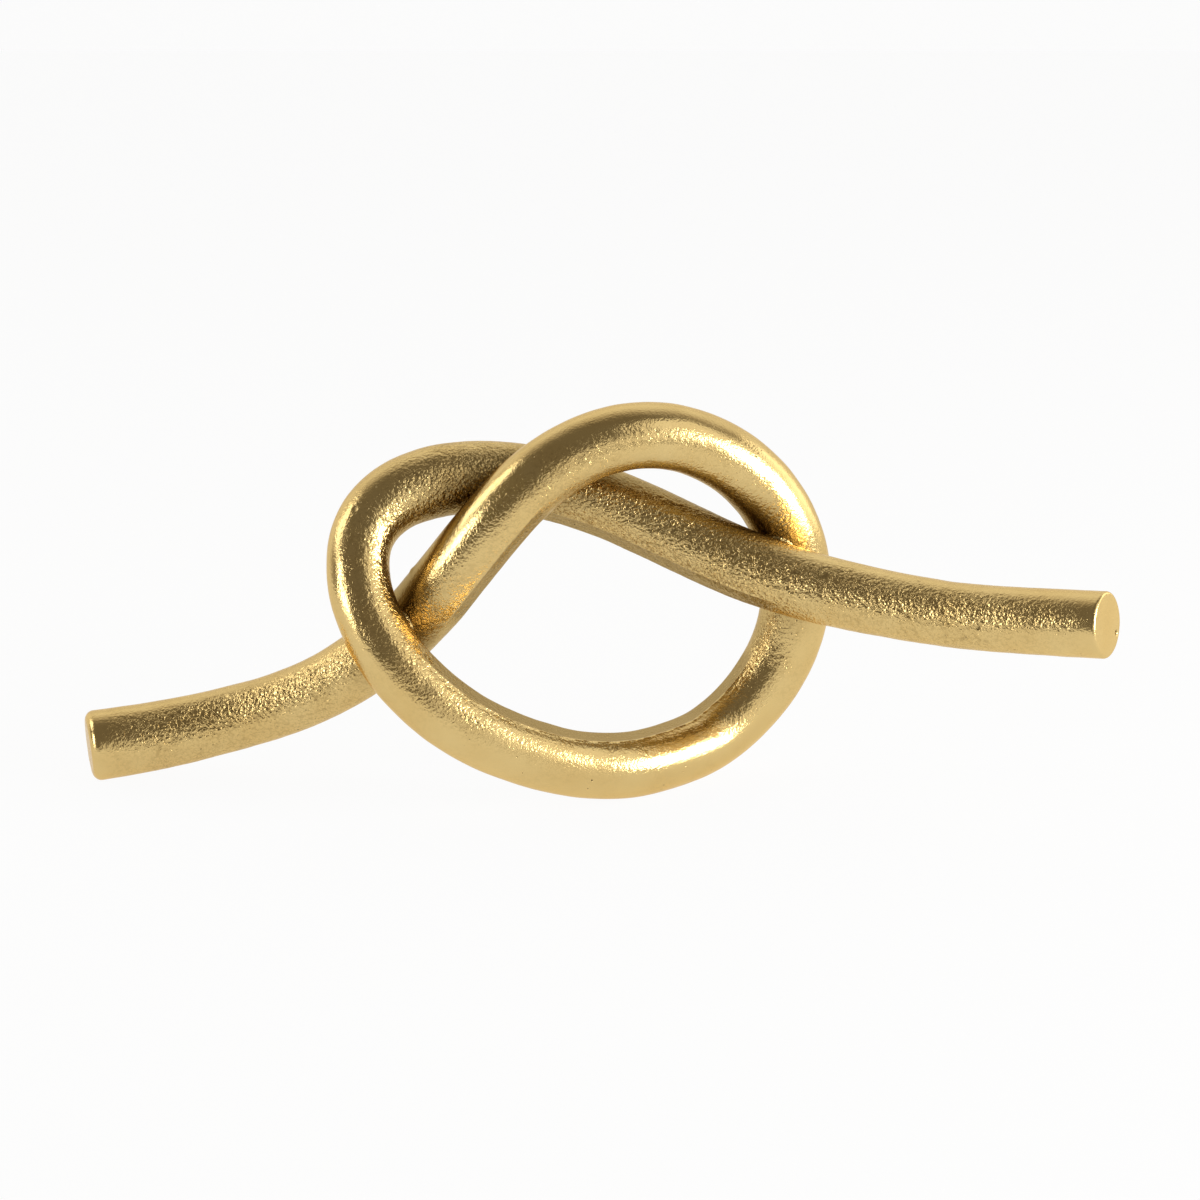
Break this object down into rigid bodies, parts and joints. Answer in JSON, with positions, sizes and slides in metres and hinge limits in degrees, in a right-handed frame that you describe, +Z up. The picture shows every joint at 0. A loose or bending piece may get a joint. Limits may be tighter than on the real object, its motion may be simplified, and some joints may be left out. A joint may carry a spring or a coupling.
{
  "type": "knot sculpture",
  "caption": "Tabletop ornament: a thick round cast metal rod tied in an open overhand knot, standing on its loop and one tail, antique brass finish.",
  "frame": {"origin": "on the ground, at the middle of the flat under the big loop", "axes": "+X from the left tail to the right tail, +Y away from the viewer, +Z up"},
  "size_m": [0.3497, 0.1, 0.1358],
  "materials": {
    "antique_brass": "sand cast, antiqued and partly polished",
    "weld_metal": "weld, dressed by hand",
    "pin_steel": "ground"
  },
  "bodies": {
    "root": {"left_tail": "antique_brass", "rising_arch": "antique_brass", "lower_loop": "antique_brass", "right_tail": "antique_brass", "left_joint_pin": "pin_steel", "top_joint_pin": "pin_steel", "right_joint_pin": "pin_steel", "left_joint_weld": "weld_metal", "top_joint_weld": "weld_metal", "right_joint_weld": "weld_metal", "left_crossing_weld": "weld_metal", "top_crossing_weld": "weld_metal", "right_crossing_weld": "weld_metal"}
  },
  "joints": []
}
